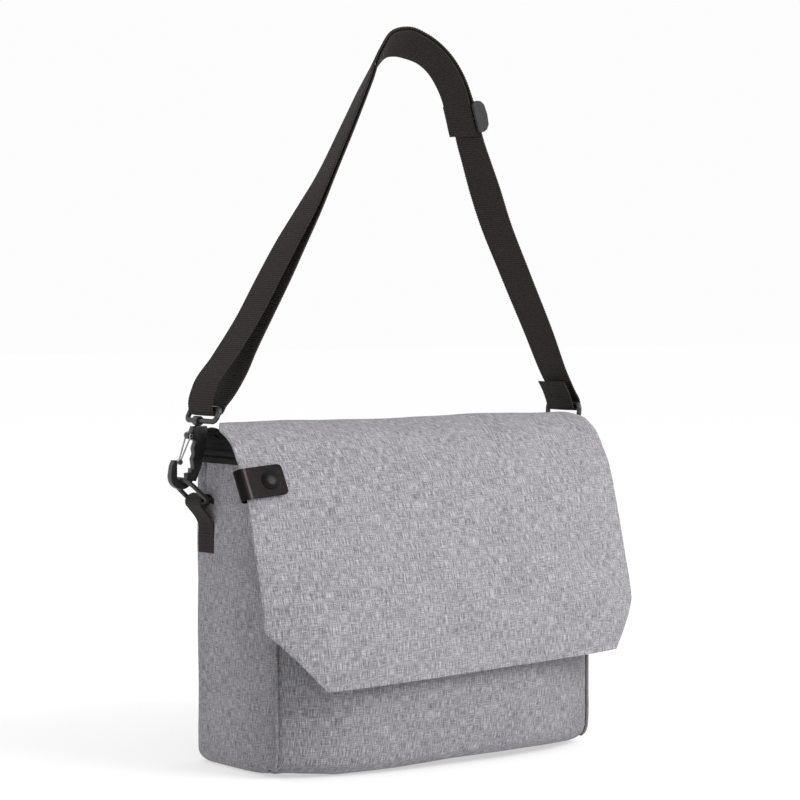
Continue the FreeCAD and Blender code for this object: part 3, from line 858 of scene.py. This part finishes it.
def make_roofs(cloth):
    """The two panels that slope up from the ends of the body to the zip."""
    for name, line in (("rear", [(60, 262.5), (52, 267), (40, 270.6), (26, 273.2), (14, 274.7)]),
                       ("front", [(-36, 262.5), (-30, 266.5), (-22, 270), (-10, 272.8), (2, 274.7)])):
        path, run = smooth_path([(0, y, z) for y, z in line], 2.0)
        xs = ticks(2 * ROOF_HALF, 5, 1.0) - ROOF_HALF
        hollow = np.sin(np.linspace(0, 1, len(path)) * math.pi)[:, None]
        sag = 1.6 * hollow * np.cos(xs / ROOF_HALF * math.pi / 2)[None]
        grid = grid_of(xs[None], path[:, 1:2], path[:, 2:3] - sag)
        grid[..., 2] += ripple(grid, 40.0, 0.7, 8.0) * hollow
        away = np.minimum(np.minimum(run, run[-1] - run)[:, None], (ROOF_HALF - np.abs(xs))[None])
        roof = closed_sheet(f"roof_{name}", grid, rounded(away, 0.8), (xs[None], run[:, None]), cloth)
        finish_piece(roof, "black_cloth", f"roof_panel_{name}", body="bag")


def joined(name, objects):
    """Several meshes as one piece."""
    bpy.ops.object.select_all(action="DESELECT")
    for made in objects:
        made.select_set(True)
    bpy.context.view_layer.objects.active = objects[0]
    bpy.ops.object.join()
    made = bpy.context.view_layer.objects.active
    made.name = name
    return made


def make_zip(coil_look, tape_look):
    """Woven tapes, and a coil of bent monofilament on each."""
    for name, sense in (("rear", 1), ("front", -1)):
        centre = ZIP_Y + sense * 6.7
        ys = centre + (ticks(12.6, 1.2, 0.3) - 6.3) * sense
        xs = ticks(2 * ZIP_HALF, 4, 0.3) - ZIP_HALF
        x, y = xs[None], ys[:, None]
        grid = grid_of(x * sense, y, 275.9 + 0.12 * np.sin(x / 9))
        away = np.minimum((ZIP_HALF - np.abs(xs))[None], (6.3 - np.abs(ys - centre))[:, None])
        depth = rounded(np.maximum(away, 0), 0.3)
        tape = closed_sheet(f"tape_{name}", grid, depth, (y, x), tape_look)
        finish_piece(tape, "black_cloth", f"zip_tape_{name}", body="bag")

        pitch = 1.5
        turn = np.linspace(0, 2 * math.pi, 9)[:-1]
        vertices, faces = [], []
        bend = [(-0.1, 0.25), (0.25, 0.75), (1.1, 1.15), (2.0, 0.95), (2.6, 0.35)]
        for k in range(int(308 / pitch)):
            at = -154 + (k + (0.5 if sense > 0 else 0)) * pitch
            first = len(vertices)
            for reach, high in bend:
                fat = 0.42 if 0 < reach < 2.4 else 0.3
                for angle in turn:
                    vertices.append((at + math.cos(angle) * fat, ZIP_Y + sense * (0.15 + reach),
                                     ZIP_TOP + high * 0.9 + math.sin(angle) * fat * 0.8))
            faces += capped(wrapped(first, len(bend), len(turn)))
        coil = mesh_object(f"coil_{name}", vertices, faces, coil_look)
        finish_piece(coil, "zip_coil", f"zip_coil_{name}", body="bag")


# ---- the strap ----
# Middle of the webbing (x, y, z) along the loop, and how the width leans in x and z.
OUTER_WAY = [
    (-179.6, 32, 303.6, 0, 0), (-184.2, 32, 305.6, 0, 0), (-185.4, 32, 311, 0, 0), (-181, 32, 328, 0, 0),
    (-161.5, 32, 353, 0, 0), (-137, 32, 386, 0, 0), (-116, 32, 420, 0, 0), (-94.5, 32, 454, 1, 0),
    (-75.5, 32, 482, 4, 0), (-59, 32, 508, 9, 0), (-30.5, 32, 560, 13, -1), (-11.5, 32, 596, 15.5, -3),
    (2, 31.5, 621, 17, -10), (12, 30.5, 632.5, 13, -18), (28, 30, 636, 5, -20.5), (43, 30, 633, 2, -17),
    (58, 30, 627, 1, -12), (72, 30.5, 617, 0, -8), (84, 31, 602.5, -1, -5), (92.5, 31.5, 587, -1, -2),
    (98, 32, 574, -1, -1), (102, 32, 562, -1, 0), (107, 32, 546, -2, 0), (114, 32, 528, -4, 0),
    (123, 32, 505, -7, 0), (134.5, 32, 476, -7, 0), (158.5, 32, 428, -6, 0), (188, 32, 371, -4, 0),
    (207.6, 32, 331, -1, 0), (216.4, 32, 316.5, 0, 0), (222.3, 32, 306.5, 0, 0), (222.6, 32, 301.6, 0, 0),
    (219, 32, 299.3, 0, 0), (214.9, 32, 300.8, 0, 0), (212.8, 32, 306.5, 0, 0), (208.6, 32, 316, 0, 0),
    (202.8, 32, 325.5, 0, 0),
]
# The same for the layer inside it, from the left ring's fold back over the top to the slider's bar.
INNER_WAY = [
    (-179.6, 32, 303.6, 0, 0), (-175, 32, 305.6, 0, 0), (-171.5, 32, 311, 0, 0), (-165.5, 32, 317.5, 0, 0),
    (-150, 32, 339.5, 0, 0), (-140, 32, 359, 0, 0), (-124.5, 32, 386, 0, 0), (-106.5, 32, 417, 0, 0),
    (-87, 32, 452, 1, 0), (-69.5, 32, 482, 4, 0), (-54.4, 32, 508, 9, 0), (-27.3, 32, 558.4, 13, -1),
    (-8.7, 32, 594.2, 15.5, -3), (4.6, 31.5, 618.6, 17, -10), (13.4, 30.5, 629.6, 13, -18),
    (28, 30, 632.8, 5, -20.5), (42, 30, 629.8, 2, -17), (56.4, 30, 624, 1, -12), (69.6, 30.5, 614.6, 0, -8),
    (81, 31, 600.8, -1, -5), (88.8, 31.5, 585.6, -1, -2), (92.6, 32, 574.5, -1, -1), (94.2, 32, 568.5, -1, 0),
    (96, 32, 561, -2, 0), (98.6, 32, 552, -2, 0),
]


def webbing_piece(name, way, width, thick, look, serrated=0.32):
    """A strip of webbing with toothed edges along a way of middles and leans."""
    path, run = smooth_path(way, 0.8)
    lean = path[:, 3:5]
    level = np.sqrt(np.maximum(width**2 - (lean**2).sum(axis=1), 1))
    across = np.stack([lean[:, 0], level, lean[:, 1]], -1) / width
    tooth = serrated * np.sin(run * 2 * math.pi / 2.4)
    share = ticks(width, 3.0, thick / 2) / width - 0.5
    half = (width / 2 + tooth)[:, None] * share[None] * 2
    crown = 0.18 * np.cos(share * math.pi)
    grid = path[:, None, :3] + across[:, None] * half[..., None]
    facing = normals_of(grid)
    grid = grid + facing * crown[None, :, None]
    away = np.minimum((width / 2 - np.abs(share) * width)[None], np.minimum(run, run[-1] - run)[:, None])
    depth = rounded(np.maximum(away, 0), thick / 2)
    return closed_sheet(name, grid, depth, (half, run[:, None]), look), grid, facing


def sewn_box(grid, facing, span, last, lift):
    """A sewn rectangle on a strip: two lines along the rows of span, and one across at each end."""
    low, high = 7, grid.shape[1] - 8
    picks = [[(row, column) for row in span] for column in (low, high)]
    picks += [[(row, column) for column in range(low, high + 1)] for row in (span[0], last)]
    surface = grid + facing * lift
    outward = facing * np.sign(lift)
    return [(np.array([surface[p] for p in pick]), np.array([outward[p] for p in pick])) for pick in picks]


def make_strap(look, thread):
    """The outer layer, the layer inside it down to the slider, and the sewn end."""
    outer, grid, facing = webbing_piece("strap_outer", OUTER_WAY, WEBBING_WIDTH, WEBBING, look)
    finish_piece(outer, "webbing", "strap_webbing", body="strap")
    inner, _, _ = webbing_piece("strap_inner", INNER_WAY, WEBBING_WIDTH - 0.3, WEBBING, look)
    finish_piece(inner, "webbing")
    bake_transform(inner)
    last = len(grid) - 6
    span = range(last - 16, last)
    lines = sewn_box(grid, facing, span, last, 1.05) + sewn_box(grid, facing, span, last, -1.05)
    sewn = stitching("strap_stitching", lines, thread, pitch=2.6, length=1.9, radius=0.3)
    finish_piece(sewn, "webbing", body="strap")


# The loop's way (x, z) from its lower end up, round the ring and back down.
LOOP_WAY = [(171.9, 183), (171.9, 196), (171.9, 210), (172.4, 222), (175, 231), (178.5, 234.8), (183, 234),
            (187, 231), (187.4, 226.5), (184, 222), (179, 216.5), (174.6, 209), (174.1, 196), (174.1, 183.5)]


def make_loops(look, thread):
    """The webbing loops sewn flat on the gussets, each holding a lower ring."""
    for side, name in SIDES.items():
        points = [(side * x, 41, z, 0, 0) for x, z in LOOP_WAY]
        loop, grid, facing = webbing_piece(f"ring_loop_{name}", points, 25.0, 1.3, look, serrated=0.2)
        finish_piece(loop, "webbing", f"webbing_loop_{name}")
        outward = 1 if np.sign(facing[-20, 5, 0]) == side else -1
        last = len(grid) - 6
        lines = sewn_box(grid, facing, range(last - 28, last + 1), last, outward * 0.7)
        sewn = stitching(f"loop_stitching_{name}", lines, thread, pitch=2.6, length=1.9, radius=0.28)
        finish_piece(sewn, "webbing")
        for piece in (loop, sewn):
            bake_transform(piece)


# ---- the leather tab ----
TAB_PLACE = (
    Matrix.Translation(Vector((-199.6, -59.2, 248.6)) * MM)
    @ Matrix.Rotation(math.radians(-6.5), 4, "Z") @ Matrix.Rotation(math.radians(-24.5), 4, "X")
    @ Matrix.Rotation(math.radians(-5.5), 4, "Y")
)
TAB_HALF = 13.75
TAB_CORNER = 4.5
CAP_X = 22.8


def make_tab(hide, cap_look):
    """One strip of leather folded round the flap's edge, and its domed snap."""
    front, back = -3.2, 6.4
    middle, bend = (front + back) / 2, (back - front) / 2
    arc = [(-bend * math.sin(a), middle + bend * math.cos(a)) for a in np.radians(np.linspace(15, 165, 9))]
    line = [(x, back) for x in (35, 24, 12, 3)] + arc + [(x, front) for x in (3, 12, 25, 37.4)]
    path, run = smooth_path([(x, y, 0) for x, y in line], 0.9)
    places = ticks(run[-1], 0.9, 0.8)
    x, y = at_places(places, run, path[:, :2]).T
    end = np.minimum(places, places[-1] - places)
    corner = TAB_CORNER - np.sqrt(np.maximum(TAB_CORNER**2 - np.maximum(TAB_CORNER - end, 0) ** 2, 0))
    half = TAB_HALF - corner
    share = ticks(2 * TAB_HALF, 1.2, 0.8) / TAB_HALF - 1
    z = half[:, None] * share[None]
    grid = grid_of(x[:, None], y[:, None], z)
    facing = normals_of(grid)
    press = 0.35 * np.exp(-(((grid[..., 0] - CAP_X) ** 2 + z**2) / 120)) * (grid[..., 1] < 0)
    grid = grid + facing * press[..., None]
    away = edge_distance(half, share, places)
    centre = len(path) // 2
    bent = np.interp(3, path[centre:, 0], run[centre:])  # where the front leaf leaves the fold
    strip = closed_sheet("leather_tab", grid, rounded(away, 0.8), (z, places[:, None] - bent), hide)
    strip.data.transform(TAB_PLACE)
    finish_piece(strip, "leather", "snap_tab_front", "snap_tab_back")
    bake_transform(strip)

    profile = [(0, 3.3), (2.5, 3.2), (4.8, 2.8), (6.4, 2.1), (7.4, 1.3), (7.9, 0.6), (7.4, 0), (5, 0), (0, 0)]
    upright = Matrix.Translation(Vector((CAP_X, -4.0, 0)) * MM) @ Matrix.Rotation(math.radians(90), 4, "X")
    cap = lathe("snap_dome", profile, TAB_PLACE @ upright, cap_look)
    finish_piece(cap, "gunmetal", "snap_cap", body="tab")


# ---- hardware ----
def make_hardware(looks):
    """Cast hooks and eyes with their edges rounded off, wire gates and rings."""
    casts = []  # name, CAD node, voxel size, smoothing turns, look, body and swell
    for name in SIDES.values():
        casts += [
            (f"snap_hook_{name}", f"hook_{name}", 0.42, 5, "gunmetal", "strap", 0),
            (f"hook_swivel_{name}", f"swivel_eye_{name}", 0.3, 3, "gunmetal", "strap", 0),
            (f"hook_gate_{name}", f"gate_{name}", 0.2, 2, "steel", f"gate_{name}", 0),
            (f"ring_upper_{name}", f"upper_ring_{name}", 0.4, 2, "gunmetal", "strap", 0.3),
            (f"ring_lower_{name}", f"lower_ring_{name}", 0.4, 2, "gunmetal", "strap", 0.3),
        ]
    casts += [
        ("slider_frame", "strap_slider", 0.4, 5, "slider", "strap_slider", 0),
        ("zip_slider_body", "zip_slider", 0.15, 3, "gunmetal", "zip_slider", 0),
        ("zip_puller", "zip_pull", 0.2, 3, "gunmetal", "zip_pull", 0),
    ]
    for name, node, voxel, turns, look, body, swell in casts:
        piece = softened(name, node, voxel, turns, looks[look], swell)
        finish_piece(piece, "steel" if look == "steel" else "gunmetal", body=body)


def repaint_rest(looks):
    """CAD nodes that keep their own shape get the finished materials."""
    finishes = {
        "lining": "lining", "divider": "lining", "slip_pocket": "lining", "base_board": "board",
        "flap_magnets": "steel", "pocket_magnets": "steel", "snap_socket": "steel", "snap_stud": "steel",
        "slider_bar": "gunmetal", "gate_pin_left": "steel", "gate_pin_right": "steel",
    }
    for node, look in finishes.items():
        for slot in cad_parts[node].material_slots:
            slot.material = looks[look]


def make_looks():
    """Every material, by the short name that the makers use."""
    return {
        "cloth": heather("heather_cloth"),
        # shaded copies of the cloth: the side and pocket ones are dimmed and darkened beside their seams, and
        # the piping one is dimmed, all as painted shade
        "side_cloth": heather("heather_cloth_sides_painted_shade", 0.97, 0.300, 0.062, 0.26),
        "pocket_cloth": heather("heather_cloth_pocket_painted_shade", 0.90, 0.170, 0.055, 0.2),
        "piping": heather("heather_piping_painted_shade", 0.72),
        "webbing": ribbed("webbing_brown_black", 0.021, (1.16, 0.97, 0.91), 0.0022),
        "binding": ribbed("binding_black", 0.014, (1, 0.97, 0.97), 0.0014),
        "black": woven("black_nylon", 0.006),
        "lining": woven("dark_lining", 0.035),
        "tape": woven("zip_tape_weave", 0.016, pitch=0.0007),
        "thread": woven("grey_thread", 0.34, pitch=0.0004),
        "dark_thread": woven("dark_thread", 0.022, pitch=0.0004),
        "leather": leather("dark_leather"),
        "gunmetal": metal("dark_nickel", 0.055, 0.26, 0.42, 0.72),
        "slider": metal("dark_slider_nickel", 0.028, 0.45, 0.6, 0.72),
        "cap": metal("dark_cap_nickel", 0.014, 0.30, 0.42),
        "steel": metal("bright_nickel", 0.38, 0.16, 0.3),
        "coil": plastic("black_coil", 0.02),
        "board": plastic("grey_board", 0.18),
    }


def main():
    """The stage, then the bag from the body out."""
    camera()
    studio()
    looks = make_looks()
    make_body(looks)
    make_flap(looks["cloth"], looks["lining"], looks["thread"])
    make_top(looks["black"], looks["binding"])
    make_roofs(looks["black"])
    make_zip(looks["coil"], looks["tape"])
    make_strap(looks["webbing"], looks["dark_thread"])
    make_loops(looks["webbing"], looks["dark_thread"])
    make_tab(looks["leather"], looks["cap"])
    make_hardware(looks)
    repaint_rest(looks)


main()
